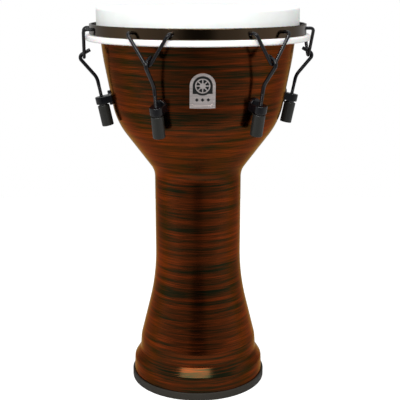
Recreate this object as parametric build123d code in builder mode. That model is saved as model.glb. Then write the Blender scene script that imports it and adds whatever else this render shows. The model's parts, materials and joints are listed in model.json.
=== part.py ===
"""Goblet hand drum with a mechanical tuning rig.

A lacquered goblet shell stands on a rubber foot ring. A synthetic head is stretched over the
bearing edge and held by a flesh hoop. A steel band presses on that hoop, and at six stations a
V-shaped yoke, a hooked rod and a barrel nut pull the band down towards a lug on the shell.

Units are millimetres. The drum's axis is Z, and the floor is Z = 0 under the foot ring.
"""

from build123d import *
from math import atan, atan2, cos, radians, sin, tan
import os

os.makedirs("parts", exist_ok=True)

# ---------------------------------------------------------------- driving dimensions

# shell outline: each corner's place, and the arc that rounds it. The bowl's corners are given from
# the bearing edge, by a drop below the playing surface and an inset, and the foot's from the floor
height = 595.0  # floor to playing surface
head_radius = 152.4  # outside of the bearing edge
wall_drop = 75.0  # where the bowl's side steepens
wall_inset = 8.4
wall_arc = 400.0
belly_drop = 171.0  # turn of the bowl's underside
belly_inset = 26.1
belly_arc = 110.0
neck_drop = 250.0  # crease between bowl and neck
neck_radius = 67.5
neck_arc = 32.0
waist_radius = 67.3  # narrowest part of the neck
waist_height = 172.0
waist_arc = 350.0
ankle_radius = 92.6  # above the foot's shoulder
ankle_height = 70.0
ankle_arc = 40.0
step_radius = 94.0  # hollow at the bottom of the flare
step_height = 50.0
step_arc = 10.0
shoulder_radius = 103.5  # top of the foot's rim
shoulder_height = 35.0
shoulder_arc = 8.0
foot_radius = 105.0
shell_wall = 7.0
edge_round = 4.0  # outer rounding of the bearing edge
edge_inner_round = 2.4

# rubber foot ring, a channel round the shell's bottom edge
ring_height = 12.0
ring_wall = 2.4
ring_base = 3.0
ring_lip_height = 8.0  # the channel's inner wall
ring_round = 0.9

# head
film = 0.5
collar_start = 5.5  # from the playing surface down to the straight collar
collar_arc = 1.5
hem_width = 7.5  # film turned outwards into the hoop

# flesh hoop
hoop_drop = 49.2  # from the playing surface down to the hoop's underside
hoop_height = 8.6
hoop_width = 14.3
hoop_gap = 2.3  # round the collar
hoop_round = 2.6
hem_clearance = 0.3

# rim band, an angle section whose foot rests on the hoop
band_setback = 5.9  # inside the hoop's edge
band_thickness = 2.5
band_height = 15.8
band_foot = 4.0
band_foot_thickness = 2.0
band_round = 1.1

# tuning stations round the drum
station_count = 6
first_station = -113.0  # degrees from +X

# yoke: one wire bent to a V, hooked into two holes of the band
yoke_wire = 5.0
yoke_half_width = 31.0
yoke_standoff = 8.3  # from the band's face out to the V's own upright plane
yoke_hole_drop = 32.0
yoke_corner_drop = 79.0  # where the V's two straight legs would meet
yoke_tail_inset = 6.8  # from the band's inner face to the turned-up ends
yoke_tail_height = 5.5
yoke_tail_arc = 3.2
yoke_shoulder_arc = 5.5
yoke_hole_clearance = 0.3
wire_end_round = 0.8

# hooked tuning rod
rod_diameter = 5.5
rod_tilt = 11.7  # degrees from upright, its top leaning outwards
rod_standoff = 14.5  # from the bowl's side out to the rod's axis, at the middle of the lug
rod_bend_drop = 105.0
rod_bend_arc = 25.0
rod_end_drop = 167.0
hook_slope = 28.5  # degrees below level, going outwards
hook_tip_length = 10.4
hook_overhang = 10.4
hook_arc = 6.0
hook_clearance = 0.3  # rod to yoke

# lug
lug_drop = 139.0
lug_flange_width = 19.0
lug_flange_length = 22.5
lug_flange_rise = 3.75  # its middle above the eye's
lug_flange_thickness = 4.2
lug_boss_radius = 10.0
lug_boss_height = 11.5
lug_hole_clearance = 0.5
lug_bevel = 0.9

# fasteners inside the shell
screw_diameter = 5.0
screw_head_diameter = 9.0
screw_head_height = 3.0
screw_spacing = 10.0
screw_clearance = 0.25
screw_depth_in_lug = 3.2
screw_head_gap = 0.35  # flat head on the curved strip
backing_thickness = 1.5
backing_width = 15.0
backing_length = 26.0

# washer and barrel nut
washer_diameter = 13.0
washer_thickness = 1.8
washer_clearance = 0.4
nut_diameter = 18.0
nut_length = 32.0
nut_gap = 0.3  # washer to nut
nut_bevel = 1.2
nut_bore_clearance = 0.08
nut_key_flats = 5.0
nut_key_depth = 6.0

# badge, pressed to the shape of the bowl
badge_angle = -87.1  # degrees from +X
badge_width = 36.0
badge_drop = 136.0  # its bottom edge
badge_height = 50.5
badge_thickness = 1.0
badge_border = 3.6
badge_border_rise = 0.8
badge_panel_height = 26.0  # dark arched panel, down from the inside of the border
badge_panel_inset = 0.6
badge_panel_thickness = 0.4
badge_lozenge_radius = 2.6  # dark inlays under the panel
badge_lozenge_spacing = 8.0
badge_motif_radius = 10.6
badge_motif_ring = 1.6
badge_motif_rays = 8
badge_motif_ray = 1.5
badge_motif_hub = 4.2
badge_motif_rise = 0.4
badge_rivet_diameter = 1.6
badge_rivet_head = 3.2
badge_rivet_rise = 1.6
badge_rivet_depth = 4.0  # into the shell's wall
badge_rivet_side = 13.9
badge_rivet_height = 4.2  # above the plate's bottom edge

# ---------------------------------------------------------------- places worked out from them

shell_bottom = ring_base
shell_top = height - film
film_radius = head_radius + film
collar_top = height - collar_start
hoop_inner_radius = film_radius + hoop_gap
hoop_outer_radius = hoop_inner_radius + hoop_width
hem_height = height - hoop_drop + hoop_height / 2
band_bottom = height - hoop_drop + hoop_height
band_outer_radius = hoop_outer_radius - band_setback
band_inner_radius = band_outer_radius - band_thickness
yoke_radius = yoke_wire / 2
yoke_plane_radius = band_outer_radius + yoke_standoff
yoke_hole_height = height - yoke_hole_drop
yoke_corner_height = height - yoke_corner_drop
yoke_tail_radius = band_inner_radius - yoke_tail_inset
lug_height = height - lug_drop
rod_radius = rod_diameter / 2
station_angles = [first_station + turn * 360 / station_count for turn in range(station_count)]

outline = [
    (foot_radius, shell_bottom, 0),
    (shoulder_radius, shoulder_height, shoulder_arc),
    (step_radius, step_height, step_arc),
    (ankle_radius, ankle_height, ankle_arc),
    (waist_radius, waist_height, waist_arc),
    (neck_radius, height - neck_drop, neck_arc),
    (head_radius - belly_inset, height - belly_drop, belly_arc),
    (head_radius - wall_inset, height - wall_drop, wall_arc),
    (head_radius, shell_top, 0),
]
smallest_arc = 0.5


def lean(low, high):
    """Angle in radians by which the outline leans outwards between two corners."""
    return atan2(high[0] - low[0], high[1] - low[1])


def moved_outline(distance):
    """Move the shell's outline outwards by a distance, square to its surface.

    Each corner moves along its mitre. An arc that bulges outwards grows by the distance, and a
    hollow one shrinks by it.
    """
    moved = []
    for index, (radius, level, arc) in enumerate(outline):
        below = lean(*outline[index - 1 : index + 1]) if index else lean(*outline[:2])
        above = lean(*outline[index : index + 2]) if index + 1 < len(outline) else below
        mitre = distance / cos((above - below) / 2)
        middle = (above + below) / 2
        grown = arc + distance if above < below else arc - distance
        place = (radius + mitre * cos(middle), level - mitre * sin(middle))
        moved.append((*place, max(grown, smallest_arc)))
    return moved


def goblet(distance, bottom=shell_bottom, top=shell_top):
    """Make the solid inside the shell's outline, moved outwards by a distance."""
    corners = moved_outline(distance)
    places = [(radius, level) for radius, level, arc in corners]
    places[0] = (places[0][0], bottom)
    places[-1] = (places[-1][0], top)
    with BuildPart() as solid:
        with BuildSketch(Plane.XZ):
            with BuildLine():
                side = FilletPolyline(places, radius=[arc for radius, level, arc in corners[1:-1]])
                Polyline(side @ 1, (0, top), (0, bottom), side @ 0)
            make_face()
        revolve(axis=Axis.Z)
    return solid.part


def seat_at(level):
    """Plane that touches the bowl's side at a height, facing outwards over the +X axis."""
    for low, high in zip(outline, outline[1:]):
        if low[1] <= level <= high[1]:
            angle = lean(low, high)
            radius = low[0] + (level - low[1]) * tan(angle)
            return Plane(origin=(radius, 0, level), x_dir=(0, 1, 0), z_dir=(cos(angle), 0, -sin(angle)))
    raise ValueError("the height is outside the shell")


def write(piece, name):
    """Label one finished piece and write its file."""
    piece.label = name
    export_step(piece, f"parts/{name}.step")


def write_at_stations(piece, name):
    """Write a copy of a piece for each tuning station, numbered round the drum."""
    for number, angle in enumerate(station_angles, start=1):
        write(piece.rotate(Axis.Z, angle), f"{name}_{number}")


def write_group(piece, name):
    """Write one file that holds a copy of a piece at every tuning station."""
    copies = [solid for angle in station_angles for solid in piece.rotate(Axis.Z, angle).solids()]
    write(Compound(children=copies), name)


# ---------------------------------------------------------------- shell and foot ring

body = goblet(0)
cavity = goblet(-shell_wall, bottom=-ring_base, top=height)
lug_seat = seat_at(lug_height)
screw_places = [(0, lug_flange_rise + side * screw_spacing / 2) for side in (-1, 1)]

with BuildPart() as screw_holes:
    with BuildSketch(lug_seat.offset(-2 * shell_wall)):
        with Locations(screw_places):
            Circle(screw_diameter / 2 + screw_clearance)
    extrude(amount=3 * shell_wall)

badge_seat = seat_at(height - badge_drop + badge_height / 2)
badge_reach = 2 * shell_wall  # more than the badge's depth on the curved bowl
badge_rivet_places = [
    (side * badge_rivet_side, badge_rivet_height - badge_height / 2) for side in (-1, 1)
]

with BuildPart() as badge_shanks:
    with BuildSketch(badge_seat.offset(-badge_rivet_depth)):
        with Locations(badge_rivet_places):
            Circle(badge_rivet_diameter / 2)
    extrude(amount=badge_rivet_depth + badge_thickness)

with BuildPart() as shell:
    add(body)
    add(cavity, mode=Mode.SUBTRACT)
    rims = shell.edges().filter_by(GeomType.CIRCLE).group_by(Axis.Z)[-1].sort_by(SortBy.RADIUS)
    fillet(rims[-1], edge_round)
    rims = shell.edges().filter_by(GeomType.CIRCLE).group_by(Axis.Z)[-1].sort_by(SortBy.RADIUS)
    fillet(rims[0], min(edge_inner_round, (shell_wall - edge_round) * 0.9))
    for angle in station_angles:
        add(screw_holes.part.rotate(Axis.Z, angle), mode=Mode.SUBTRACT)
    add(badge_shanks.part.rotate(Axis.Z, badge_angle), mode=Mode.SUBTRACT)
write(shell.part, "shell")

with BuildPart() as foot_ring:
    with BuildSketch(Plane.XZ):
        with BuildLine():
            outside = foot_radius + ring_wall
            inside = foot_radius - shell_wall - ring_wall
            Polyline(
                (inside, 0),
                (outside, 0),
                (outside, ring_height),
                (foot_radius - ring_wall, ring_height),
                (foot_radius - ring_wall, ring_lip_height),
                (inside, ring_lip_height),
                close=True,
            )
        make_face()
    revolve(axis=Axis.Z)
    add(body, mode=Mode.SUBTRACT)
    tops = foot_ring.edges().filter_by(GeomType.CIRCLE).group_by(Axis.Z)[-1].sort_by(SortBy.RADIUS)
    fillet(tops[-1], ring_round)
write(foot_ring.part, "foot_ring")

# ---------------------------------------------------------------- head

with BuildPart() as head_film:
    with BuildSketch(Plane.XZ):
        with BuildLine():
            over = FilletPolyline(
                (0, height), (film_radius, height), (film_radius, collar_top), radius=[edge_round + film]
            )
            under = FilletPolyline(
                (0, shell_top), (head_radius, shell_top), (head_radius, collar_top), radius=[edge_round]
            )
            Line(over @ 0, under @ 0)
            Line(over @ 1, under @ 1)
        make_face()
    revolve(axis=Axis.Z)
write(head_film.part, "head_film")

with BuildPart() as head_collar:
    with BuildSketch(Plane.XZ):
        with BuildLine():
            hem_end = film_radius + hem_width
            hem_top = hem_height + film / 2
            hem_under = hem_height - film / 2
            outer = FilletPolyline(
                (film_radius, collar_top), (film_radius, hem_top), (hem_end, hem_top), radius=[collar_arc]
            )
            inner = FilletPolyline(
                (head_radius, collar_top),
                (head_radius, hem_under),
                (hem_end, hem_under),
                radius=[collar_arc + film],
            )
            Line(outer @ 0, inner @ 0)
            Line(outer @ 1, inner @ 1)
        make_face()
    revolve(axis=Axis.Z)
write(head_collar.part, "head_collar")

# ---------------------------------------------------------------- flesh hoop and rim band

with BuildPart() as flesh_hoop:
    with BuildSketch(Plane.XZ) as hoop_section:
        with Locations(((hoop_inner_radius + hoop_outer_radius) / 2, hem_height)):
            Rectangle(hoop_width, hoop_height)
        fillet(hoop_section.vertices(), hoop_round)
        slot_depth = film_radius + hem_width + hem_clearance - hoop_inner_radius
        with Locations((hoop_inner_radius + slot_depth / 2, hem_height)):
            Rectangle(slot_depth, film + 2 * hem_clearance, mode=Mode.SUBTRACT)
    revolve(axis=Axis.Z)
write(flesh_hoop.part, "flesh_hoop")

with BuildPart() as rim_band:
    with BuildSketch(Plane.XZ) as band_section:
        with BuildLine():
            foot_edge = band_inner_radius - band_foot
            foot_top = band_bottom + band_foot_thickness
            band_top = band_bottom + band_height
            Polyline(
                (foot_edge, band_bottom),
                (band_outer_radius, band_bottom),
                (band_outer_radius, band_top),
                (band_inner_radius, band_top),
                (band_inner_radius, foot_top),
                (foot_edge, foot_top),
                close=True,
            )
        make_face()
        fillet(band_section.vertices().group_by(Axis.Y)[-1], band_round)
        fillet(band_section.vertices().group_by(Axis.Y)[0].sort_by(Axis.X)[-1], band_round)
    revolve(axis=Axis.Z)
    with BuildPart(mode=Mode.PRIVATE) as yoke_holes:
        with BuildSketch(Plane(origin=(0, 0, yoke_hole_height), x_dir=(0, 1, 0), z_dir=(1, 0, 0))):
            with Locations((-yoke_half_width, 0), (yoke_half_width, 0)):
                Circle(yoke_radius + yoke_hole_clearance)
        extrude(amount=2 * band_outer_radius)
    for angle in station_angles:
        add(yoke_holes.part.rotate(Axis.Z, angle), mode=Mode.SUBTRACT)
write(rim_band.part, "rim_band")

# ---------------------------------------------------------------- yokes

vertex_arc = rod_radius + hook_clearance + yoke_radius
leg_angle = atan(yoke_half_width / (yoke_hole_height - yoke_corner_height))
vertex_height = yoke_corner_height + vertex_arc * (1 / sin(leg_angle) - 1)
tail_top = yoke_hole_height + yoke_tail_height

with BuildPart() as rim_yoke:
    with BuildLine() as yoke_path:
        FilletPolyline(
            (yoke_tail_radius, yoke_half_width, tail_top),
            (yoke_tail_radius, yoke_half_width, yoke_hole_height),
            (yoke_plane_radius, yoke_half_width, yoke_hole_height),
            (yoke_plane_radius, 0, yoke_corner_height),
            (yoke_plane_radius, -yoke_half_width, yoke_hole_height),
            (yoke_tail_radius, -yoke_half_width, yoke_hole_height),
            (yoke_tail_radius, -yoke_half_width, tail_top),
            radius=[yoke_tail_arc, yoke_shoulder_arc, vertex_arc, yoke_shoulder_arc, yoke_tail_arc],
        )
    with BuildSketch(Plane(origin=yoke_path.line @ 0, z_dir=yoke_path.line % 0)):
        Circle(yoke_radius)
    sweep()
    fillet(rim_yoke.edges().filter_by(GeomType.CIRCLE).group_by(Axis.Z)[-1], wire_end_round)
write_at_stations(rim_yoke.part, "rim_yoke")

# ---------------------------------------------------------------- hooked tuning rods

tilt = radians(rod_tilt)
slope = radians(hook_slope)
rod_radius_at_lug = lug_seat.origin.X + rod_standoff
crossing = Vector(yoke_plane_radius, 0, vertex_height + vertex_arc / cos(slope))
outwards = Vector(cos(slope), 0, -sin(slope))
hook_tip = crossing - outwards * hook_tip_length
hook_corner = crossing + outwards * hook_overhang


def on_rod(level):
    """Point on the rod's straight axis at a height."""
    return Vector(rod_radius_at_lug + (level - lug_height) * tan(tilt), 0, level)


with BuildPart() as tuning_rod:
    with BuildLine() as rod_path:
        FilletPolyline(
            hook_tip,
            hook_corner,
            on_rod(height - rod_bend_drop),
            on_rod(height - rod_end_drop),
            radius=[hook_arc, rod_bend_arc],
        )
    with BuildSketch(Plane(origin=rod_path.line @ 0, z_dir=rod_path.line % 0)):
        Circle(rod_radius)
    sweep()
    ends = tuning_rod.faces().filter_by(GeomType.PLANE).edges()
    fillet(ends, wire_end_round)
write_at_stations(tuning_rod.part, "tuning_rod")

# ---------------------------------------------------------------- lugs


def across_rod(distance):
    """Plane square to the rod's axis, a distance up that axis from the middle of the lug."""
    up = Vector(sin(tilt), 0, cos(tilt))
    return Plane(origin=on_rod(lug_height) + up * distance, x_dir=(cos(tilt), 0, -sin(tilt)), z_dir=up)


boss_underside = -lug_boss_height / 2
boss_reach = rod_standoff + lug_flange_thickness

with BuildPart() as lug:
    with BuildSketch(across_rod(boss_underside)):
        Circle(lug_boss_radius)
        with Locations((-boss_reach / 2, 0)):
            Rectangle(boss_reach, 2 * lug_boss_radius)
    extrude(amount=lug_boss_height)
    caps = lug.faces().filter_by(GeomType.PLANE).sort_by(Axis.Z)
    chamfer([*caps[0].edges(), *caps[-1].edges()], lug_bevel)
    with BuildPart(mode=Mode.PRIVATE) as flange:
        with BuildSketch(lug_seat.offset(-lug_flange_thickness)):
            with Locations((0, lug_flange_rise)):
                SlotOverall(lug_flange_length, lug_flange_width, rotation=90)
        extrude(amount=2 * lug_flange_thickness)
        chamfer(flange.faces().sort_by(Axis.X)[-1].edges(), lug_bevel)
    add(flange.part)
    add(body, mode=Mode.SUBTRACT)
    with BuildSketch(across_rod(boss_underside)):
        Circle(rod_radius + lug_hole_clearance)
    extrude(amount=lug_boss_height, both=True, mode=Mode.SUBTRACT)
    with BuildSketch(lug_seat.offset(-lug_flange_thickness)):
        with Locations(screw_places):
            Circle(screw_diameter / 2)
    extrude(amount=lug_flange_thickness + screw_depth_in_lug, mode=Mode.SUBTRACT)
write_at_stations(lug.part, "lug")

# ---------------------------------------------------------------- fasteners inside the shell

backing_inside = goblet(-shell_wall - backing_thickness, bottom=-ring_base, top=height)

with BuildPart() as lug_backing_plate:
    with BuildSketch(lug_seat):
        with Locations((0, lug_flange_rise)):
            SlotOverall(backing_length, backing_width, rotation=90)
        with Locations(screw_places):
            Circle(screw_diameter / 2 + screw_clearance, mode=Mode.SUBTRACT)
    extrude(amount=-3 * shell_wall)
    add(cavity, mode=Mode.INTERSECT)
    add(backing_inside, mode=Mode.SUBTRACT)
write_group(lug_backing_plate.part, "lug_backing_plates")

head_seat = -shell_wall - backing_thickness - screw_head_gap
with BuildPart() as lug_screw:
    with BuildSketch(lug_seat.offset(head_seat - screw_head_height)):
        with Locations(screw_places):
            Circle(screw_head_diameter / 2)
    extrude(amount=screw_head_height)
    with BuildSketch(lug_seat.offset(head_seat)):
        with Locations(screw_places):
            Circle(screw_diameter / 2)
    extrude(amount=screw_depth_in_lug - head_seat)
write_group(lug_screw.part, "lug_screws")

# ---------------------------------------------------------------- washers and barrel nuts

washer_underside = boss_underside - washer_thickness
nut_top = washer_underside - nut_gap
nut_bottom = nut_top - nut_length

with BuildPart() as nut_washer:
    with BuildSketch(across_rod(washer_underside)):
        Circle(washer_diameter / 2)
        Circle(rod_radius + washer_clearance, mode=Mode.SUBTRACT)
    extrude(amount=washer_thickness)
write_group(nut_washer.part, "nut_washers")

with BuildPart() as tuning_nut:
    with BuildSketch(across_rod(nut_bottom)):
        Circle(nut_diameter / 2)
    extrude(amount=nut_length)
    caps = tuning_nut.faces().filter_by(GeomType.PLANE)
    chamfer(caps.edges(), nut_bevel)
    with BuildSketch(across_rod(nut_bottom + nut_key_depth)):
        Circle(rod_radius + nut_bore_clearance)
    extrude(amount=nut_length, mode=Mode.SUBTRACT)
    with BuildSketch(across_rod(nut_bottom)):
        RegularPolygon(nut_key_flats / 2, 6, major_radius=False)
    extrude(amount=nut_key_depth, mode=Mode.SUBTRACT)
write_at_stations(tuning_nut.part, "tuning_nut")

# ---------------------------------------------------------------- badge

plate_face = goblet(badge_thickness)
border_face = goblet(badge_thickness + badge_border_rise)
panel_face = goblet(badge_thickness + badge_panel_thickness)
motif_face = goblet(badge_thickness + badge_panel_thickness + badge_motif_rise)
arch_centre = badge_height / 2 - badge_width / 2
panel_bottom = badge_height / 2 - badge_border - badge_panel_height
lozenge_height = (panel_bottom + badge_border - badge_height / 2) / 2


def arch(inset, bottom):
    """Add the badge's arched outline to a sketch, inset all round and closed at a bottom line."""
    width = badge_width - 2 * inset
    with Locations((0, arch_centre)):
        Circle(width / 2)
    with Locations((0, (arch_centre + bottom) / 2)):
        Rectangle(width, arch_centre - bottom)


with BuildPart() as badge_recess:
    with BuildSketch(badge_seat):
        arch(badge_border, badge_border - badge_height / 2)
    extrude(amount=badge_reach, both=True)
    add(plate_face, mode=Mode.SUBTRACT)

with BuildPart() as badge_plate:
    with BuildSketch(badge_seat):
        arch(0, -badge_height / 2)
    extrude(amount=badge_reach, both=True)
    add(border_face, mode=Mode.INTERSECT)
    add(body, mode=Mode.SUBTRACT)
    add(badge_recess.part, mode=Mode.SUBTRACT)
    add(badge_shanks.part, mode=Mode.SUBTRACT)
write(badge_plate.part.rotate(Axis.Z, badge_angle), "badge_plate")

with BuildPart() as badge_panel:
    with BuildSketch(badge_seat):
        arch(badge_border + badge_panel_inset, panel_bottom)
        for step in (-1, 0, 1):
            with Locations((step * badge_lozenge_spacing, lozenge_height)):
                RegularPolygon(badge_lozenge_radius, 4)
    extrude(amount=badge_reach, both=True)
    add(panel_face, mode=Mode.INTERSECT)
    add(plate_face, mode=Mode.SUBTRACT)
write(badge_panel.part.rotate(Axis.Z, badge_angle), "badge_panel")

with BuildPart() as badge_relief:
    with BuildSketch(badge_seat):
        with Locations((0, arch_centre)):
            Circle(badge_motif_radius)
            Circle(badge_motif_radius - badge_motif_ring, mode=Mode.SUBTRACT)
            with PolarLocations(0, badge_motif_rays // 2, angular_range=180):
                Rectangle(2 * badge_motif_radius - badge_motif_ring, badge_motif_ray)
            Circle(badge_motif_hub)
    extrude(amount=badge_reach, both=True)
    add(motif_face, mode=Mode.INTERSECT)
    add(panel_face, mode=Mode.SUBTRACT)
write(badge_relief.part.rotate(Axis.Z, badge_angle), "badge_relief")

with BuildPart() as badge_rivet_heads:
    with BuildSketch(badge_seat):
        with Locations(badge_rivet_places):
            Circle(badge_rivet_head / 2)
    extrude(amount=badge_reach, both=True)
    add(goblet(badge_thickness + badge_rivet_rise), mode=Mode.INTERSECT)
    add(plate_face, mode=Mode.SUBTRACT)
    add(badge_plate.part, mode=Mode.SUBTRACT)

with BuildPart() as badge_rivets:
    add(badge_shanks.part)
    add(badge_rivet_heads.part)
write(badge_rivets.part.rotate(Axis.Z, badge_angle), "badge_rivets")
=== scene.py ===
# %% [markdown]
# # A tunable goblet drum, made surface by surface
# The drum is a lacquered goblet with a white synthetic head. A black steel rim pulls the head down,
# and six hooked rods pull the rim towards lugs on the bowl. Each cell makes one piece or one finish
# and prints what it made. Lengths are in millimetres until a mesh is written, and the drum's axis
# is Z, with the side that carries the badge facing -Y.

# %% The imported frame
import json

import bpy
import numpy as np
from math import atan, atan2, cos, degrees, hypot, pi, radians, sin
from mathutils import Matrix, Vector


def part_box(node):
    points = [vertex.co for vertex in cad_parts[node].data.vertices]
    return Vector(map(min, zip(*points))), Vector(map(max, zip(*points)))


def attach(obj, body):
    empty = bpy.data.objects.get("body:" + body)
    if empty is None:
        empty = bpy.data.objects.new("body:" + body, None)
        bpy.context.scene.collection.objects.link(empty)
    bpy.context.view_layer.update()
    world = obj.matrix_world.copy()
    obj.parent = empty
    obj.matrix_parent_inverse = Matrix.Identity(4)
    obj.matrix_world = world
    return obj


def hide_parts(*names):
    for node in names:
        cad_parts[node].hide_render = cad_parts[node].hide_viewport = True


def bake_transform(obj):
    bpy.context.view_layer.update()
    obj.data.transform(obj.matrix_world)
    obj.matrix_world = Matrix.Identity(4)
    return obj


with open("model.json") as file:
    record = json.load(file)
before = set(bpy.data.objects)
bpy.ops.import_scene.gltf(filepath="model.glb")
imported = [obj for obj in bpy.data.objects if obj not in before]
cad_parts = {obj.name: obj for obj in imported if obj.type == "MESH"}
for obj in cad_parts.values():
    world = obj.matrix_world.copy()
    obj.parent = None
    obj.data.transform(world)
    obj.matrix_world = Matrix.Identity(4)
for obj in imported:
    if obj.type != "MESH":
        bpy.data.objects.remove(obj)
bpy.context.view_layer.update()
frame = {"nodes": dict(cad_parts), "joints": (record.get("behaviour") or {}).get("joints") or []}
MM = 0.001


def node_box(name):
    """Lowest and highest corner of a frame node, in millimetres."""
    low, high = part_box(name)
    return np.array(low) / MM, np.array(high) / MM


# %% [markdown]
# ## Surfaces from grids
# Nearly every piece of a drum is either turned on a lathe or bent from wire. Both are a stack of
# closed rings of points: the lathe's rings lie round the axis, and the wire's rings lie round its
# path. So one function writes the faces over any stack, and the pieces only work out the points.
# The faces could be typed by hand, but a numpy index grid makes them all at once.

# %% Faces over a stack of rings
def stack_faces(rings, around, loop):
    """Index grid: face (i, j) joins ring i to ring i + 1 between points j and j + 1, wrapping in j.

    With loop the last ring joins the first as well, which makes a closed tube like a tyre.
    """
    i, j = np.meshgrid(np.arange(rings if loop else rings - 1), np.arange(around), indexing="ij")
    up, across = (i + 1) % rings, (j + 1) % around
    corners = [i * around + j, i * around + across, up * around + across, up * around + j]
    return np.stack(corners, axis=-1).reshape(-1, 4)


def skin(stack, loop=False):
    """Points and faces of a stack of rings, shape (rings, around, 3).

    An open stack is closed by a fan of triangles from each end ring to that ring's mean point.
    """
    rings, around = stack.shape[:2]
    points = stack.reshape(-1, 3)
    faces = stack_faces(rings, around, loop).tolist()
    if not loop:
        here = np.arange(around)
        beside = (here + 1) % around
        foot, crown = len(points), len(points) + 1
        points = np.vstack([points, stack[0].mean(0), stack[-1].mean(0)])
        last = (rings - 1) * around
        faces += np.stack([beside, here, np.full(around, foot)], axis=1).tolist()
        faces += np.stack([here + last, beside + last, np.full(around, crown)], axis=1).tolist()
    return points, faces


def together(*parts):
    """Several closed skins as one: the indices of each follow those of the one before."""
    points, faces = [], []
    for some_points, some_faces in parts:
        start = sum(len(block) for block in points)
        points.append(some_points)
        faces += [[start + index for index in face] for face in some_faces]
    return np.vstack(points), faces


def write_piece(name, shape, material, body, stands_for=(), crisp=40):
    """Write one mesh object in metres at the origin, smooth but for edges sharper than crisp degrees."""
    points, faces = shape
    mesh = bpy.data.meshes.new(name)
    mesh.from_pydata((points * MM).tolist(), [], faces)
    mesh.validate()
    mesh.materials.append(material)
    mesh.shade_smooth()
    mesh.set_sharp_from_angle(angle=radians(crisp))
    piece = bpy.data.objects.new(name, mesh)
    bpy.context.scene.collection.objects.link(piece)
    if body:
        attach(piece, body)
    if stands_for:
        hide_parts(*stands_for)
    print(f"{name}: {len(points)} points, {len(faces)} faces")
    return piece


# %% [markdown]
# ## Rounded outlines
# A turner draws a section as straight runs joined by arcs, and gives each corner a radius. An arc
# that touches both runs starts the same distance before and after the corner, which is the radius
# times the tangent of half the turn. Drawing sections this way keeps them to a few numbers.

# %% Corners to a smooth outline
def arc_at(before, corner, after, radius, steps):
    """Points on the arc of a radius that touches both runs at a corner, in two or three dimensions.

    The centre lies on the bisector, radius / sin(half the opening) away from the corner.
    """
    to_before = (before - corner) / np.linalg.norm(before - corner)
    to_after = (after - corner) / np.linalg.norm(after - corner)
    opening = np.arccos(np.clip(to_before @ to_after, -1, 1))
    bisector = (to_before + to_after) / np.linalg.norm(to_before + to_after)
    centre = corner + bisector * radius / sin(opening / 2)
    turn = pi - opening
    side = to_before - bisector * (to_before @ bisector)
    side /= np.linalg.norm(side)
    swing = np.linspace(-turn / 2, turn / 2, steps)[:, None]
    return centre - radius * (bisector * np.cos(swing) + side * np.sin(swing))


def rounded(corners, radii, steps=9, closed=False):
    """Outline through corners, each rounded by its own radius; radius 0 keeps the corner itself."""
    corners = np.array(corners, float)
    count = len(corners)
    points = []
    for index, radius in enumerate(radii):
        here = index if closed else index + 1
        corner = corners[here % count]
        if radius:
            points.append(arc_at(corners[here - 1], corner, corners[(here + 1) % count], radius, steps))
        else:
            points.append(corner[None])
    if not closed:
        points = [corners[:1], *points, corners[-1:]]
    return np.vstack(points)


def finer(points, longest, closed=False):
    """Split each run of an outline evenly, so that no step is longer than the given length."""
    ends = np.roll(points, -1, axis=0) if closed else points[1:]
    starts = points if closed else points[:-1]
    pieces = []
    for start, end in zip(starts, ends):
        steps = max(1, int(np.ceil(np.linalg.norm(end - start) / longest)))
        pieces.append(start + (end - start) * np.linspace(0, 1, steps, endpoint=False)[:, None])
    if not closed:
        pieces.append(points[-1:])
    return np.vstack(pieces)


def turned(section, around=240, loop=True):
    """Lathe: a section of (radius, height) pairs, anticlockwise, carried round the Z axis."""
    angle = np.linspace(0, 2 * pi, around, endpoint=False)
    radius, level = section[:, :1], section[:, 1:]
    rings = np.stack([radius * np.cos(angle), radius * np.sin(angle), level + 0 * angle], axis=-1)
    return skin(rings, loop)


unit_square = rounded([(0, 0), (1, 0), (1, 1), (0, 1)], [0.2] * 4, closed=True)
print("a unit square with rounded corners:", len(unit_square), "points")

# %% [markdown]
# ## Effects that several finishes share
# Cast, painted and moulded surfaces all have a fine grain that breaks up their gloss, and paint
# thins where fingers and tools rub the edges. Each effect is one node group with named inputs, so
# that every finish uses the same recipe with its own values. The groups only put out colours,
# masks and normals, and the Principled shader stays in each material.

# %% Small helpers for shader nodes
def new_group(name, inputs, outputs):
    """A shader node group with its sockets: (name, kind, default) in, (name, kind) out."""
    group = bpy.data.node_groups.new(name, "ShaderNodeTree")
    for label, kind, default in inputs:
        socket = group.interface.new_socket(label, in_out="INPUT", socket_type=f"NodeSocket{kind}")
        socket.default_value = default
    for label, kind in outputs:
        group.interface.new_socket(label, in_out="OUTPUT", socket_type=f"NodeSocket{kind}")
    return group, group.nodes.new("NodeGroupInput").outputs, group.nodes.new("NodeGroupOutput").inputs


def add(tree, kind, settings=(), **inputs):
    """One node, with its settings and its inputs: a value is set, an output socket is linked.

    An input is named by its label, or by its number as i0, i1 and so on.
    """
    node = tree.nodes.new(f"ShaderNode{kind}")
    for key, value in dict(settings).items():
        setattr(node, key, value)
    for key, value in inputs.items():
        by_number = key[0] == "i" and key[1:].isdigit()
        socket = node.inputs[int(key[1:]) if by_number else key.replace("_", " ")]
        if isinstance(value, bpy.types.NodeSocket):
            tree.links.new(value, socket)
        else:
            socket.default_value = value
    return node


def ramp(tree, factor, stops):
    """Colour ramp over a factor; stops are (position, (red, green, blue))."""
    node = add(tree, "ValToRGB", Fac=factor)
    elements = node.color_ramp.elements
    while len(elements) < len(stops):
        elements.new(0.5)
    for element, (position, colour) in zip(elements, stops):
        element.position = position
        element.color = (*colour, 1)
    return node.outputs["Color"]


def spread(tree, factor, low, high, to_low, to_high):
    """Map a factor from one range to another, clamped."""
    limits = {"From_Min": low, "From_Max": high, "To_Min": to_low, "To_Max": to_high}
    return add(tree, "MapRange", {"clamp": True}, Value=factor, **limits).outputs["Result"]


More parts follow.
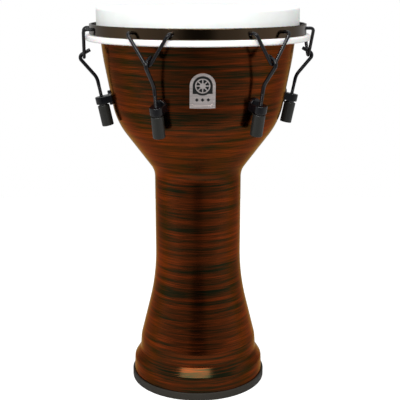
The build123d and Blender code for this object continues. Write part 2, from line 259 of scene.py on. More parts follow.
# %% Grain: roughness and height that vary finely over the surface
def make_grain():
    group, given, out = new_group(
        "fine_grain",
        [("Size", "Float", 900.0), ("Strength", "Float", 0.2), ("Low", "Float", 0.3), ("High", "Float", 0.5)],
        [("Roughness", "Float"), ("Normal", "Vector")],
    )
    place = add(group, "TexCoord").outputs["Object"]
    fine = add(group, "TexNoise", Vector=place, Scale=given["Size"], Detail=3.0).outputs["Fac"]
    broad = add(group, "TexNoise", Vector=place, Scale=45.0, Detail=2.0).outputs["Fac"]
    mixed = add(group, "Math", {"operation": "MULTIPLY_ADD"}, i0=fine, i1=0.5, i2=broad).outputs[0]
    rough = spread(group, mixed, 0.45, 1.05, given["Low"], given["High"])
    bump = add(group, "Bump", Strength=given["Strength"], Distance=0.0002, Height=fine)
    group.links.new(rough, out["Roughness"])
    group.links.new(bump.outputs["Normal"], out["Normal"])
    return group


# %% Edge wear: a mask of the convex edges, broken up by noise
def make_edge_wear():
    group, given, out = new_group(
        "edge_wear",
        [("Start", "Float", 0.53), ("Width", "Float", 0.06), ("Breakup", "Float", 120.0)],
        [("Mask", "Float")],
    )
    convex = add(group, "NewGeometry").outputs["Pointiness"]
    place = add(group, "TexCoord").outputs["Object"]
    noise = add(group, "TexNoise", Vector=place, Scale=given["Breakup"], Detail=2.0).outputs["Fac"]
    full = add(group, "Math", {"operation": "ADD"}, i0=given["Start"], i1=given["Width"]).outputs[0]
    edge = add(group, "MapRange", Value=convex, From_Min=given["Start"], From_Max=full).outputs["Result"]
    broken = add(group, "Math", {"operation": "MULTIPLY"}, i0=edge, i1=noise).outputs[0]
    group.links.new(broken, out["Mask"])
    return group


# %% Streaks: noise stretched level round the drum, so that it reads as turned or brushed lines
def make_streaks():
    group, given, out = new_group(
        "level_streaks",
        [("Fineness", "Float", 150.0), ("Along", "Float", 6.0), ("Detail", "Float", 3.0)],
        [("Value", "Float")],
    )
    place = add(group, "TexCoord").outputs["Object"]
    scale = add(group, "CombineXYZ", X=given["Along"], Y=given["Along"], Z=given["Fineness"]).outputs[0]
    stretched = add(group, "VectorMath", {"operation": "MULTIPLY"}, i0=place, i1=scale).outputs[0]
    noise = add(group, "TexNoise", Vector=stretched, Scale=1.0, Detail=given["Detail"]).outputs["Fac"]
    group.links.new(noise, out["Value"])
    return group


grain_group, wear_group, streak_group = make_grain(), make_edge_wear(), make_streaks()
print("shared groups:", [group.name for group in bpy.data.node_groups])


def use(tree, group, **inputs):
    """Place a shared group in a material with its own values, and return its outputs."""
    node = tree.nodes.new("ShaderNodeGroup")
    node.node_tree = group
    for key, value in inputs.items():
        node.inputs[key].default_value = value
    return node.outputs


def new_material(name):
    """An empty material with one Principled shader; returns (material, tree, shader inputs, link)."""
    material = bpy.data.materials.new(name)
    material.use_nodes = True
    tree = material.node_tree
    return material, tree, tree.nodes["Principled BSDF"].inputs, tree.links.new


# %% [markdown]
# ## The lacquer on the shell
# The real shell is sprayed with a copper base, dragged level with dark brown and green-black while
# it turns, and then covered in deep clear lacquer. A picture could hold the streaks, but it would
# end at a seam. Noise stretched level round the drum has no seam and stays sharp close up. The
# copper is metallic, which is what makes the sides glow, and a thin clear coat lies over it.

# %% Lacquer over dragged copper and brown
def make_lacquer():
    material, tree, shader, link = new_material("lacquer_over_copper")
    broad = use(tree, streak_group, Fineness=39.0, Along=3.2, Detail=3.0)["Value"]
    middle = use(tree, streak_group, Fineness=210.0, Along=7.0, Detail=5.0)["Value"]
    fine = use(tree, streak_group, Fineness=900.0, Along=26.0, Detail=4.0)["Value"]
    first = add(tree, "Mix", {"data_type": "FLOAT"}, Factor=0.62, i2=broad, i3=middle).outputs[0]
    drag = add(tree, "Mix", {"data_type": "FLOAT"}, Factor=0.36, i2=first, i3=fine).outputs[0]
    copper = ramp(
        tree,
        drag,
        [
            (0.40, (0.010, 0.014, 0.005)),
            (0.45, (0.027, 0.017, 0.005)),
            (0.485, (0.064, 0.018, 0.004)),
            (0.54, (0.108, 0.023, 0.004)),
            (0.60, (0.195, 0.031, 0.005)),
        ],
    )
    link(copper, shader["Base Color"])
    link(spread(tree, fine, 0.35, 0.65, 0.15, 0.27), shader["Roughness"])
    shader["Metallic"].default_value = 1.0
    shader["Specular Tint"].default_value = (1.0, 0.55, 0.13, 1)
    shader["Coat Weight"].default_value = 0.12
    shader["Coat Roughness"].default_value = 0.20
    shader["Coat IOR"].default_value = 1.35
    orange_peel = add(tree, "TexCoord").outputs["Object"]
    ripple = add(tree, "TexNoise", Vector=orange_peel, Scale=55.0, Detail=1.0).outputs["Fac"]
    link(add(tree, "Bump", Strength=0.05, Distance=0.0006, Height=ripple).outputs[0], shader["Coat Normal"])
    return material


lacquer = make_lacquer()
print("made", lacquer.name)

# %% [markdown]
# ## Paints, plastics, rubber and metals
# The rest of the drum is small hardware and white film. Each finish is a Principled shader with a
# colour, a grain for its roughness and bump, and on painted metal a mask that lets the edges go
# paler where the coating thins.

# %% Painted hardware
def make_paint(name, colour, worn, rough, grain, strength, metal=0.0):
    """Paint or plating: a base colour, a paler colour on the edges, and a grained roughness."""
    material, tree, shader, link = new_material(name)
    surface = use(tree, grain_group, Size=grain, Strength=strength, Low=rough[0], High=rough[1])
    mask = use(tree, wear_group, Start=0.54, Width=0.08, Breakup=160.0)["Mask"]
    mixed = add(tree, "Mix", {"data_type": "RGBA"}, Factor=mask, i6=(*colour, 1), i7=(*worn, 1)).outputs[2]
    link(mixed, shader["Base Color"])
    link(surface["Roughness"], shader["Roughness"])
    link(surface["Normal"], shader["Normal"])
    shader["Metallic"].default_value = metal
    shader["Specular IOR Level"].default_value = 0.32
    return material


BLACK = (0.003, 0.003, 0.004)
CHROME, CHROME_EDGE = (0.075, 0.050, 0.030), (0.12, 0.09, 0.06)
band_paint = make_paint("band_dark_chrome", CHROME, CHROME_EDGE, (0.08, 0.16), 300, 0.02, metal=1.0)
wire_paint = make_paint("wire_black_gloss", BLACK, (0.03, 0.03, 0.03), (0.12, 0.20), 700, 0.04)
rod_paint = make_paint("rod_black_gloss", BLACK, (0.04, 0.038, 0.038), (0.14, 0.24), 900, 0.05)
cast_paint = make_paint("cast_black_gloss", BLACK, (0.03, 0.03, 0.032), (0.14, 0.24), 420, 0.18)
nut_paint = make_paint("nut_dark_satin", (0.016, 0.016, 0.014), (0.07, 0.07, 0.07), (0.30, 0.44), 800, 0.10)
STEEL, STEEL_EDGE = (0.05, 0.05, 0.05), (0.12, 0.12, 0.12)
washer_paint = make_paint("washer_dark_steel", STEEL, STEEL_EDGE, (0.30, 0.45), 800, 0.08)
rubber = make_paint("foot_rubber", (0.021, 0.018, 0.013), (0.08, 0.07, 0.055), (0.55, 0.78), 600, 0.35)
print("paints:", [material.name for material in bpy.data.materials])


# %% Bare metals
def make_metal(name, colour, rough, streak, strength):
    """Metal brushed level: streaks give its roughness and a very fine bump."""
    material, tree, shader, link = new_material(name)
    lines = use(tree, streak_group, Fineness=streak, Along=30.0, Detail=3.0)["Value"]
    dull = tuple(channel * 0.72 for channel in colour)
    tone = ramp(tree, lines, [(0.35, dull), (0.62, colour)])
    link(tone, shader["Base Color"])
    shader["Metallic"].default_value = 1.0
    link(spread(tree, lines, 0.3, 0.7, rough[0], rough[1]), shader["Roughness"])
    link(add(tree, "Bump", Strength=strength, Distance=0.0001, Height=lines).outputs[0], shader["Normal"])
    return material


badge_metal = make_metal("badge_silver", (0.80, 0.72, 0.70), (0.28, 0.42), 1500.0, 0.12)
zinc = make_metal("zinc_plate", (0.62, 0.63, 0.65), (0.30, 0.45), 1200.0, 0.10)
ENAMEL, ENAMEL_EDGE = (0.006, 0.007, 0.007), (0.01, 0.01, 0.01)
badge_dark = make_paint("badge_dark_enamel", ENAMEL, ENAMEL_EDGE, (0.16, 0.26), 500, 0.04)


# %% White film and hoop
def make_white(name, colour, shade, rough, grain, strength):
    """White plastic: faint cloudy tone under a fine grain, with a little light let through."""
    material, tree, shader, link = new_material(name)
    place = add(tree, "TexCoord").outputs["Object"]
    clouds = add(tree, "TexNoise", Vector=place, Scale=38.0, Detail=4.0).outputs["Fac"]
    link(ramp(tree, clouds, [(0.3, shade), (0.65, colour)]), shader["Base Color"])
    surface = use(tree, grain_group, Size=grain, Strength=strength, Low=rough[0], High=rough[1])
    link(surface["Roughness"], shader["Roughness"])
    link(surface["Normal"], shader["Normal"])
    shader["Subsurface Weight"].default_value = 0.15
    shader["Subsurface Scale"].default_value = 0.002
    return material


FILM_COLOUR, FILM_SHADE = (0.93, 0.925, 0.91), (0.88, 0.875, 0.855)
film_white = make_white("head_film_white", FILM_COLOUR, FILM_SHADE, (0.42, 0.60), 1100, 0.16)
hoop_white = make_white("hoop_white", (0.94, 0.935, 0.92), (0.91, 0.90, 0.885), (0.30, 0.42), 500, 0.05)
print("finishes in all:", len(bpy.data.materials))

# %% [markdown]
# ## The shell
# One wall, about 7 mm thick, from the foot to the bearing edge. Its section is turned on the
# lathe: the outline goes up outside, over the rounded edge, and down inside. The wall is square to
# the outline, so each inner corner lies on the mitre of the outer one, and an arc that bulges
# outwards is smaller inside by the wall.

# %% Shell outline and wall
HEIGHT = node_box("head_film")[1][2]
FILM = 0.5
WALL = 7.0
EDGE_ROUND = 4.0
EDGE_INNER_ROUND = 2.4
SHELL_BOTTOM = node_box("shell")[0][2]
OUTLINE = [  # radius, height, and the radius of the arc that rounds the corner
    (105.0, SHELL_BOTTOM, 0.8),  # foot
    (103.5, 35.0, 8.0),  # shoulder
    (94.0, 50.0, 10.0),  # step
    (92.6, 70.0, 40.0),  # ankle
    (67.3, 172.0, 350.0),  # waist
    (67.5, 345.0, 32.0),  # neck
    (126.3, 424.0, 110.0),  # belly
    (144.0, 520.0, 400.0),  # side of the bowl
    (152.4, HEIGHT - FILM, EDGE_ROUND),  # bearing edge
]


def moved_outline(distance):
    """Outline moved outwards by a distance, square to its surface, as (radius, height, arc) rows.

    A corner moves along its mitre: the distance divided by the cosine of half the turn.
    """
    corners = np.array(OUTLINE)
    runs = np.diff(corners[:, :2], axis=0)
    leans = np.arctan2(runs[:, 0], runs[:, 1])
    below, above = np.r_[leans[0], leans], np.r_[leans, leans[-1]]
    middle = (below + above) / 2
    mitre = distance / np.cos((above - below) / 2)
    arcs = np.maximum(corners[:, 2] + np.where(above < below, distance, -distance), 0.5)
    radius = corners[:, 0] + mitre * np.cos(middle)
    level = corners[:, 1] - mitre * np.sin(middle)
    return np.stack([radius, level, arcs], axis=1)


def make_shell():
    """Wall between the outline and the outline moved inwards, turned on the lathe."""
    outside, inside = np.array(OUTLINE), moved_outline(-WALL)
    inside[0, 1:], inside[-1, 1:] = outside[0, 1:], (outside[-1, 1], EDGE_INNER_ROUND)
    corners = np.vstack([outside, inside[::-1]])
    section = rounded(corners[:, :2], corners[:, 2], steps=10, closed=True)
    shape = turned(finer(section, 9.0, closed=True), 288)
    write_piece("shell_lacquered", shape, lacquer, "drum", ["shell"])


make_shell()

# %% [markdown]
# ## The foot ring
# A rubber channel that the shell stands in. Only its outer lip and underside show, but the inside
# of the channel is made too, because the drum is often tipped over and looked at from below.

# %% Rubber ring
RING_LIP = 8.0


def make_foot_ring():
    """Channel whose two lips are as thick as each other, with the shell's wall between them."""
    ring_out, _, ring_top = node_box("foot_ring")[1]
    channel_out, channel_in = OUTLINE[0][0], OUTLINE[0][0] - WALL
    ring_in = OUTLINE[0][0] - WALL - (ring_out - OUTLINE[0][0])
    corners = [
        (ring_in, 0),
        (ring_out, 0),
        (ring_out, ring_top),
        (channel_out - 0.4, ring_top),
        (channel_out, SHELL_BOTTOM),
        (channel_in, SHELL_BOTTOM),
        (channel_in, RING_LIP),
        (ring_in, RING_LIP),
    ]
    section = rounded(corners, [1.0, 1.2, 1.0, 0.3, 0.3, 0.3, 0.6, 1.0], steps=6, closed=True)
    shape = turned(finer(section, 5.0, closed=True))
    write_piece("foot_ring_rubber", shape, rubber, "drum", ["foot_ring"])


make_foot_ring()

# %% [markdown]
# ## The head
# Synthetic film is moulded hot with a collar, so it leaves the playing surface over a round edge,
# drops straight down the side and turns out into a slot in the hoop. The film is one piece on the
# real drum. It is turned here as one thin closed section. Its hem goes up and down with the rim
# while its top stays, but the piece is written without a body, so it follows neither.

# %% Film over the bearing edge, collar and hem
FILM_OUT = node_box("head_film")[1][0]
hem_low, hem_high = node_box("head_collar")
HEM_OUT = hem_high[0]
MIDDLE_RADIUS = 4  # of the small disc that closes the film at its centre
COLLAR_ARC = 1.5


def make_head():
    """Upper side from the centre to the hem, and underside one film's thickness within it."""
    film_in, film_under = FILM_OUT - FILM, HEIGHT - FILM
    hem_under, hem_top = hem_low[2], hem_low[2] + FILM
    above = [(MIDDLE_RADIUS, HEIGHT), (FILM_OUT, HEIGHT), (FILM_OUT, hem_top), (HEM_OUT, hem_top)]
    below = [(MIDDLE_RADIUS, film_under), (film_in, film_under), (film_in, hem_under), (HEM_OUT, hem_under)]
    top = rounded(above, [EDGE_ROUND + FILM, COLLAR_ARC], steps=12)
    under = rounded(below, [EDGE_ROUND, COLLAR_ARC + FILM], steps=12)
    section = np.vstack([finer(under, 4.0), finer(top[::-1], 4.0)])
    head = write_piece("head_and_collar", turned(section, 320, loop=False), film_white, None)
    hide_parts("head_film", "head_collar")
    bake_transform(head)


make_head()

# %% [markdown]
# ## The flesh hoop
# A plain white ring with soft corners. The film's hem sits in a slot in its inner side, so the
# section is a rounded oblong with that slot cut in, turned on the lathe like the shell.

# %% White hoop
hoop_low, hoop_high = node_box("flesh_hoop")
HOOP_IN = 155.2
HOOP_ROUND = 2.6
HEM_GAP = 0.3
SLOT_OUT = HEM_OUT + HEM_GAP
SLOT_HALF = FILM / 2 + HEM_GAP


def make_hoop():
    """Oblong section with a slot in its inner side, turned on the lathe."""
    bottom, top, out = hoop_low[2], hoop_high[2], hoop_high[0]
    middle = (bottom + top) / 2
    corners = [
        (HOOP_IN, bottom),
        (out, bottom),
        (out, top),
        (HOOP_IN, top),
        (HOOP_IN, middle + SLOT_HALF),
        (SLOT_OUT, middle + SLOT_HALF),
        (SLOT_OUT, middle - SLOT_HALF),
        (HOOP_IN, middle - SLOT_HALF),
    ]
    section = rounded(corners, [HOOP_ROUND] * 4 + [0.3, 0.2, 0.2, 0.3], steps=9, closed=True)
    write_piece("flesh_hoop_white", turned(section, 320), hoop_white, "rim", ["flesh_hoop"])


make_hoop()

# %% [markdown]
# ## The rim band
# The steel band is already right in the frame, with its twelve holes for the wires, so its mesh
# stays and only gets its paint. The same goes for the screws and backing strips inside the shell.

# %% Finishes for the pieces that stay
STAYING = {
    "rim_band": band_paint,
    "nut_washers": washer_paint,
    "lug_screws": zinc,
    "lug_backing_plates": zinc,
    "badge_plate": badge_metal,
    "badge_relief": badge_metal,
    "badge_rivets": badge_metal,
    "badge_panel": badge_dark,
}
for node_name, material in STAYING.items():
    kept = frame["nodes"][node_name]
    kept.data.materials.clear()
    kept.data.materials.append(material)
    print(node_name, "is finished in", material.name)

# %% [markdown]
# ## Where the tuning stations are
# The frame's joints say where each rod and nut turns and slides: a nut's joint gives a point on the
# rod's axis and the direction of the axis. Each station is worked out once, in its own upright
# plane that faces outwards, and then turned to its place round the drum.

# %% Stations from the joints
joints = {joint["name"]: joint for joint in frame["joints"]}
stations = []
for number in range(1, 7):
    turn = joints[f"nut_{number}_turn"]
    x, y, z = np.array(turn["pos_m"]) / MM
    tilt = np.arccos(-turn["axis"][2])
    place = {"angle": atan2(y, x), "radius": hypot(x, y), "height": z}
    stations.append({"number": number, "tilt": tilt, **place})
LUG_HEIGHT, ROD_AT_LUG, TILT = stations[0]["height"], stations[0]["radius"], stations[0]["tilt"]
UP_ROD = np.array([sin(TILT), 0, cos(TILT)])
OUT_OF_ROD = np.array([cos(TILT), 0, -sin(TILT)])
LUG_CENTRE = np.array([ROD_AT_LUG, 0, LUG_HEIGHT])
angles = [round(degrees(station["angle"])) for station in stations]
print("stations at", angles, "degrees, rods tilt", round(degrees(TILT), 2))


def to_station(shape, angle):
    """Turn points made over the +X axis to a station's angle round the drum."""
    points, faces = shape
    spin = np.array([[cos(angle), -sin(angle), 0], [sin(angle), cos(angle), 0], [0, 0, 1]])
    return points @ spin.T, faces


def write_at_stations(shape, label, material, body, node, crisp=40):
    """Write a shape made over the +X axis at all stations; {} in a name is the station's number."""
    for station in stations:
        n = station["number"]
        there = to_station(shape, station["angle"])
        write_piece(label.format(n), there, material, body.format(n), [node.format(n)], crisp)


# %% [markdown]
# ## Wire bent along a path
# Yokes and rods are round wire. A tube is rings square to the path: each ring needs two directions
# across the path, and here they come from one fixed direction that the wire never runs along, with
# its part along the path taken away. The ends are cut and rounded, so the radius falls along a
# quarter circle over the last fraction of a millimetre.

# %% Tube along a path
def path_frames(path, steady):
    """Two unit directions across a path, square to each other.

    The first is the steady direction less its part along the path, and the second is their cross.
    """
    along = np.gradient(path, axis=0)
    along /= np.linalg.norm(along, axis=1, keepdims=True)
    first = steady - along * (along @ steady)[:, None]
    first /= np.linalg.norm(first, axis=1, keepdims=True)
    return first, np.cross(along, first)


def with_ends(path, end_round, steps=5):
    """Add closely spaced points near both ends of a path, for the rounding of the cut ends."""
    extra = end_round * (1 - np.cos(np.linspace(0, pi / 2, steps)))
    length = np.r_[0, np.cumsum(np.linalg.norm(np.diff(path, axis=0), axis=1))]
    middle = length[(length > end_round * 1.2) & (length < length[-1] - end_round * 1.2)]
    where = np.r_[extra, middle, length[-1] - extra[::-1]]
    return np.stack([np.interp(where, length, path[:, axis]) for axis in range(3)], axis=1), where


def wire(path, radius, end_round, around=20, steady=(0.0, 1.0, 0.0), ripple=None):
    """Tube of a radius along a path, with rounded ends.

    Radius at a distance d from an end is radius - e + sqrt(e^2 - (e - d)^2), where e is the
    rounding, and ripple(distance, angle) is taken off it.
    """
    path, length = with_ends(path, end_round)
    first, second = path_frames(path, np.array(steady))
    gap = np.minimum(length, length[-1] - length)
    short = np.clip(end_round - gap, 0, end_round)
    rim = radius - end_round + np.sqrt(end_round**2 - short**2)
    angle = np.linspace(0, 2 * pi, around, endpoint=False)
    size = np.repeat(rim[:, None], around, axis=1)
    if ripple is not None:
        size = size - ripple(length[:, None], angle[None, :])
    across = first[:, None] * np.cos(angle)[None, :, None] + second[:, None] * np.sin(angle)[None, :, None]
    return skin(path[:, None] + across * size[..., None])


# %% [markdown]
# ## The yokes
# Each yoke is one length of 5 mm wire. It starts behind the band, turns out through a hole, drops
# in a V to the rod's hook and comes back up the other side. The path is seven corners with five
# bend radii, and the bend at the bottom is as wide as the rod's hook needs.

# %% Yokes
WIRE = 5.0
ROD = 5.5
HOOK_GAP = 0.3
YOKE_HALF = 31.0
YOKE_HOLE = 563.0
YOKE_CORNER = 516.0
YOKE_PLANE = 171.9
TAIL_PLANE = 154.3
TAIL_TOP = node_box("rim_yoke_1")[1][2]
TAIL_ARC = 3.2
SHOULDER_ARC = 5.5
WIRE_END = 0.8  # rounding of the cut ends
VERTEX_ARC = (ROD + WIRE) / 2 + HOOK_GAP
LEG_ANGLE = atan(YOKE_HALF / (YOKE_HOLE - YOKE_CORNER))
VERTEX = YOKE_CORNER + VERTEX_ARC * (1 / sin(LEG_ANGLE) - 1)


def make_yoke():
    """Right half as corners, then the corner at the bottom, then the right half mirrored."""
    right = [
        (TAIL_PLANE, YOKE_HALF, TAIL_TOP),
        (TAIL_PLANE, YOKE_HALF, YOKE_HOLE),
        (YOKE_PLANE, YOKE_HALF, YOKE_HOLE),
    ]
    left = [(x, -y, z) for x, y, z in reversed(right)]
    arcs = [TAIL_ARC, SHOULDER_ARC, VERTEX_ARC, SHOULDER_ARC, TAIL_ARC]
    path = rounded([*right, (YOKE_PLANE, 0, YOKE_CORNER), *left], arcs, steps=12)
    return wire(finer(path, 4.0), WIRE / 2, WIRE_END, around=24, steady=(0.70, 0.71, 0.05))


write_at_stations(make_yoke(), "yoke_{}", wire_paint, "yoke_{}", "rim_yoke_{}")

# %% [markdown]
# ## The tuning rods
# A rod hooks over its yoke, slopes back to the line of its lug and runs down through it into the
# barrel nut. The lower part has a rolled thread of 24 turns to the inch. A thread could be a bump
# in the material, but the crests catch the light on the outline, so it is real geometry: the
# tube's radius falls by a triangle wave of the turn angle plus the distance over the pitch.

# %% Rods with a real thread
PITCH = 25.4 / 24
THREAD_DEPTH = 0.42
THREAD_START = 479.0
THREAD_RINGS = 560
ROD_BEND = 490.0
HOOK_ARC = 6.0
BEND_ARC = 25.0
ROD_END = node_box("tuning_rod_1")[0][2] + ROD / 2 * sin(TILT)
HOOK_SLOPE = radians(28.5)
HOOK_HALF = 10.4
crossing = np.array([YOKE_PLANE, 0, VERTEX + VERTEX_ARC / cos(HOOK_SLOPE)])
hook_run = np.array([cos(HOOK_SLOPE), 0, -sin(HOOK_SLOPE)]) * HOOK_HALF


def on_rod(level):
    """Point on the rod's straight axis at a height."""
    return LUG_CENTRE + UP_ROD * (level - LUG_HEIGHT) / cos(TILT)


def make_rod():
    """Hook, slope and straight shank; the thread comes in over the shank's first two turns."""
    shank_top, shank_end = on_rod(THREAD_START), on_rod(ROD_END)
    corners = [crossing - hook_run, crossing + hook_run, on_rod(ROD_BEND), shank_top]
    bent = rounded(corners, [HOOK_ARC, BEND_ARC], steps=14)
    threaded = np.linspace(shank_top, shank_end, THREAD_RINGS)
    path = np.vstack([finer(bent, 2.5), threaded[1:]])
    whole = np.cumsum(np.linalg.norm(np.diff(path, axis=0), axis=1))[-1]
    start = whole - np.linalg.norm(shank_top - shank_end)

    def thread(length, angle):
        turns = angle / (2 * pi) + length / PITCH
        wave = 2 * np.abs(turns - np.floor(turns + 0.5))
        return THREAD_DEPTH * wave * np.clip((length - start) / (2 * PITCH), 0, 1)

    return wire(path, ROD / 2, WIRE_END, around=20, ripple=thread)


write_at_stations(make_rod(), "rod_{}", rod_paint, "rod_{}", "tuning_rod_{}", crisp=75)

# %% [markdown]
# ## The barrel nuts
# Long turned cylinders with bevelled ends and a key socket underneath. A lathe section square to
# the rod's axis gives the whole nut, bore and bevels and all, and then the axis is leaned over to
# the rod's. The socket is six-sided, so the last rings are pulled in from a circle to a hexagon.

# %% Nuts round the rods
LUG_HALF = 11.5 / 2  # half the height of the lug's eye
WASHER = 1.8
NUT_GAP = 0.3
NUT_RADIUS = 9.0
NUT_LENGTH = 32.0
BORE_GAP = 0.08
NUT_TOP = -(LUG_HALF + WASHER + NUT_GAP)
NUT_BOTTOM = NUT_TOP - NUT_LENGTH
KEY_FLATS = 5.0
KEY_DEPTH = 6.0


def on_rod_axis(points):
    """Lean points made round the Z axis over to the rod's axis, with Z = 0 at the lug's middle."""
    side = np.array([0.0, 1.0, 0.0])
    return LUG_CENTRE + points[..., :1] * OUT_OF_ROD + points[..., 1:2] * side + points[..., 2:] * UP_ROD


def make_nut():
    """Section turned on the lathe, with the socket's rings scaled from a circle to a hexagon.

    A hexagon's radius at an angle is half its width over the cosine of the angle from its flat.
    """
    bore = ROD / 2 + BORE_GAP
    corners = [
        (KEY_FLATS / 2, NUT_BOTTOM),
        (NUT_RADIUS, NUT_BOTTOM),
        (NUT_RADIUS, NUT_TOP),
        (bore, NUT_TOP),
        (bore, NUT_BOTTOM + KEY_DEPTH),
        (KEY_FLATS / 2, NUT_BOTTOM + KEY_DEPTH),
    ]
    section = rounded(corners, [0.3, 1.2, 1.2, 0.4, 0.1, 0.1], steps=7, closed=True)
    section = finer(section, 3.0, closed=True)
    around = 60
    angle = np.linspace(0, 2 * pi, around, endpoint=False)
    hexagon = (KEY_FLATS / 2) / np.cos((angle + pi / 6) % (pi / 3) - pi / 6)
    in_socket = (section[:, 1] < NUT_BOTTOM + KEY_DEPTH + 0.2) & (section[:, 0] < bore)
    radius = np.where(in_socket[:, None], section[:, :1] / (KEY_FLATS / 2) * hexagon, section[:, :1])
    rings = np.stack([radius * np.cos(angle), radius * np.sin(angle), section[:, 1:] + 0 * angle], axis=-1)
    return skin(on_rod_axis(rings), loop=True)


write_at_stations(make_nut(), "nut_{}", nut_paint, "nut_{}", "tuning_nut_{}", crisp=30)

# %% [markdown]
# ## The lugs
# A lug is one casting: a D-shaped eye for the rod on a flange with round ends, seated on the bowl.
# The eye is a closed tube-like skin whose section goes up the outside, over a bevel, in to the
# bore and down again, so its grid closes both ways. The flange is a rounded oblong whose back is
# pressed to the bowl. Two skins in one object meet in a sharp line, as they do on the casting.

# %% Radius and lean of the bowl's side at a height
def bowl_at(level):
    """Radius and lean of the straight run of the outline that a height lies on."""
    for (r0, z0, _), (r1, z1, _) in zip(OUTLINE, OUTLINE[1:]):
        if z0 <= level <= z1:
            return r0 + (r1 - r0) * (level - z0) / (z1 - z0), atan2(r1 - r0, z1 - z0)
    raise ValueError("height outside the shell")


fine_outline = finer(rounded([c[:2] for c in OUTLINE], [c[2] for c in OUTLINE[1:-1]], steps=25), 1.0)


def bowl_radius(level):
    """Outer radius of the shell at any height, read off the finely rounded outline."""
    return np.interp(level, fine_outline[:, 1], fine_outline[:, 0])


# %% Lug: sizes and the eye
LUG_BOSS = 10.0
LUG_HOLE = ROD / 2 + 0.5
LUG_BEVEL = 1.2
LUG_LIP = 0.5
FLANGE_WIDTH = 19.0
FLANGE_LENGTH = 22.5
FLANGE_RISE = 3.75
FLANGE_THICK = 4.2
EYE_SINK = 1.5  # the eye's back below the seat
SEAT_SINK = 0.3  # the flange's back below the bowl's surface
BEVEL_TURNS = np.linspace(0, pi / 2, 7)
seat_radius, seat_lean = bowl_at(LUG_HEIGHT)
OUT_OF_SEAT = np.array([cos(seat_lean), 0, -sin(seat_lean)])
UP_SEAT = np.array([sin(seat_lean), 0, cos(seat_lean)])
SEAT = np.array([seat_radius, 0, LUG_HEIGHT]) + FLANGE_RISE * UP_SEAT


def make_lug_eye(count=96):
    """Eye: rings seen from the hole by angle, from a D outside to a circle inside.

    Along a direction (c, s) the D reaches its radius in front, and behind it the nearer of its
    straight side, radius / |s|, and its back, depth / -c.
    """
    angle = np.linspace(0, 2 * pi, count, endpoint=False)
    c, s = np.cos(angle), np.sin(angle)
    depth = ROD_AT_LUG - seat_radius + EYE_SINK
    behind = np.minimum(LUG_BOSS / np.maximum(np.abs(s), 1e-6), depth / np.maximum(-c, 1e-6))
    outside = np.where(c >= 0, LUG_BOSS, behind)
    upper = [(outside - LUG_BEVEL * (1 - cos(a)), LUG_HALF - LUG_BEVEL * (1 - sin(a))) for a in BEVEL_TURNS]
    for a in BEVEL_TURNS:
        upper.append((0 * c + LUG_HOLE + LUG_LIP * (1 - sin(a)), LUG_HALF - LUG_LIP * (1 - cos(a))))
    rows = upper + [(reach, -level) for reach, level in reversed(upper)]
    rings = [np.stack([reach * c, reach * s, np.full(count, level)], axis=-1) for reach, level in rows]
    return skin(on_rod_axis(np.stack(rings)), loop=True)


# %% Lug: the flange, and both round the drum
def make_flange(count=96):
    """Flange: rings of a rounded oblong, from the bowl's surface out to a bevelled face.

    Its outline is a half circle about each end's centre, and its back ring is pushed along the
    seat's normal until it meets the bowl: x = sqrt(R(z)^2 - y^2).
    """
    angle = np.linspace(0, 2 * pi, count, endpoint=False)
    half, run = FLANGE_WIDTH / 2, (FLANGE_LENGTH - FLANGE_WIDTH) / 2
    across, along = np.cos(angle), np.sin(angle)
    ends = np.sign(np.round(along, 9)) * run

    def ring(inset, rise):
        flat = (half - inset) * across[:, None] * np.array([0, 1.0, 0])
        return SEAT + flat + ((half - inset) * along + ends)[:, None] * UP_SEAT + rise[:, None] * OUT_OF_SEAT

    level = ring(0, np.zeros(count))
    bowl_x = np.sqrt(bowl_radius(level[:, 2]) ** 2 - level[:, 1] ** 2)
    back = (bowl_x - level[:, 0]) / cos(seat_lean) - SEAT_SINK
    rows = [ring(0, back)]
    for a in BEVEL_TURNS:
        rows.append(ring(LUG_BEVEL * (1 - cos(a)), np.full(count, FLANGE_THICK - LUG_BEVEL * (1 - sin(a)))))
    rows += [ring(half * 0.6, np.full(count, FLANGE_THICK))]
    return skin(np.stack(rows))


lug = together(make_lug_eye(), make_flange())
write_at_stations(lug, "lug_cast_{}", cast_paint, "drum", "lug_{}", crisp=35)

# %% [markdown]
# ## Floor, light and camera
# Lacquer over copper shows its surroundings more than its own colour, so the light is mostly the
# surroundings: a soft white studio that gets darker towards the camera. That darkness is what
# draws the deep upright band down the middle of the shell, and the white walls beside and behind
# it make the copper glow towards its edges. A wide soft light high in front whitens the head and the
# hoop and puts a line of gloss on the bent wires, a faint one overhead evens out the head, and two
# small ones to the sides add a little light on the bends.
# The floor and the surroundings look white, but light the drum with less than they show.

# %% Floor
floor_mesh = bpy.data.meshes.new("floor")
floor_mesh.from_pydata([(-1.2, -0.5, 0), (1.2, -0.5, 0), (1.2, 1.2, 0), (-1.2, 1.2, 0)], [], [(0, 1, 2, 3)])
floor = bpy.data.objects.new("floor", floor_mesh)
bpy.context.scene.collection.objects.link(floor)
floor_paint, floor_tree, floor_shader, _ = new_material("floor_pale")
floor_shader["Base Color"].default_value = (0.62, 0.61, 0.60, 1)
floor_shader["Roughness"].default_value = 0.9
is_seen = add(floor_tree, "LightPath").outputs["Is Camera Ray"]
glow = add(floor_tree, "Emission", Color=(1, 1, 1, 1), Strength=0.68).outputs[0]
dark = add(floor_tree, "Emission", Strength=0.0).outputs[0]
lift = add(floor_tree, "MixShader", i0=is_seen, i1=dark, i2=glow).outputs[0]
pale = add(floor_tree, "AddShader", i0=floor_tree.nodes["Principled BSDF"].outputs[0], i1=lift).outputs[0]
floor_tree.links.new(pale, floor_tree.nodes["Material Output"].inputs["Surface"])
floor_mesh.materials.append(floor_paint)


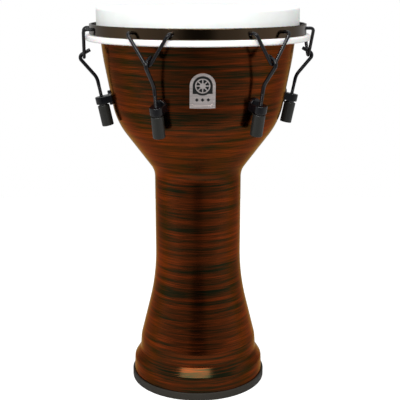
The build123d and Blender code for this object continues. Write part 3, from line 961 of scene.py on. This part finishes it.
# %% Soft lights
def soft_light(name, place, aim, size, power):
    """Rectangular area light at a place, facing a point; its -Z axis runs along the line to it."""
    lamp = bpy.data.lights.new(name, "AREA")
    lamp.shape = "RECTANGLE"
    lamp.size, lamp.size_y = size
    lamp.energy = power
    holder = bpy.data.objects.new(name, lamp)
    holder.location = place
    way = np.array(aim, float) - np.array(place, float)
    holder.rotation_euler = (atan2(hypot(way[0], way[1]), -way[2]), 0, atan2(-way[0], way[1]))
    bpy.context.scene.collection.objects.link(holder)


MIDDLE = (0, 0, 0.33)
soft_light("overhead", (0, 0.2, 2.3), MIDDLE, (1.6, 1.2), 5)
soft_light("high_front", (-0.2, -2.2, 1.85), MIDDLE, (2.4, 1.3), 60)
soft_light("spark_left", (-0.75, -0.95, 2.1), MIDDLE, (0.14, 0.14), 6)
soft_light("spark_right", (0.95, -0.75, 2.1), MIDDLE, (0.14, 0.14), 4)


# %% Studio surroundings
def make_surroundings():
    """Brightness by how far a direction points away from the camera's side, which is -Y."""
    world = bpy.data.worlds.new("studio")
    bpy.context.scene.world = world
    world.use_nodes = True
    tree = world.node_tree
    tree.nodes.clear()
    way = add(tree, "SeparateXYZ", Vector=add(tree, "TexCoord").outputs["Generated"]).outputs
    back = spread(tree, way["Y"], -1.0, 1.0, 0.0, 1.0)
    walls = ramp(
        tree,
        back,
        [
            (0.0, (0.05, 0.05, 0.05)),
            (0.012, (0.10, 0.10, 0.10)),
            (0.035, (0.36, 0.36, 0.36)),
            (0.12, (0.50, 0.50, 0.50)),
            (0.45, (0.85, 0.85, 0.85)),
            (0.8, (0.50, 0.50, 0.50)),
        ],
    )
    seen = add(tree, "Background", Color=(1, 1, 1, 1), Strength=1.0).outputs[0]
    lighting = add(tree, "Background", Color=walls, Strength=0.9).outputs[0]
    is_seen = add(tree, "LightPath").outputs["Is Camera Ray"]
    add(tree, "OutputWorld", Surface=add(tree, "MixShader", i0=is_seen, i1=lighting, i2=seen).outputs[0])


make_surroundings()
bpy.context.scene.view_settings.view_transform = "Standard"

# %% Camera
# Stands 1.36 m in front of the drum's axis, a little above its head, looking slightly down.
camera = bpy.data.cameras.new("camera")
camera.lens = 79.4
camera.sensor_width = 36.0
eye = bpy.data.objects.new("camera", camera)
eye.location = (0.0033, -1.359, 0.6326)
eye.rotation_euler = (radians(90 - 13.98), 0, 0)
bpy.context.scene.collection.objects.link(eye)
bpy.context.scene.camera = eye
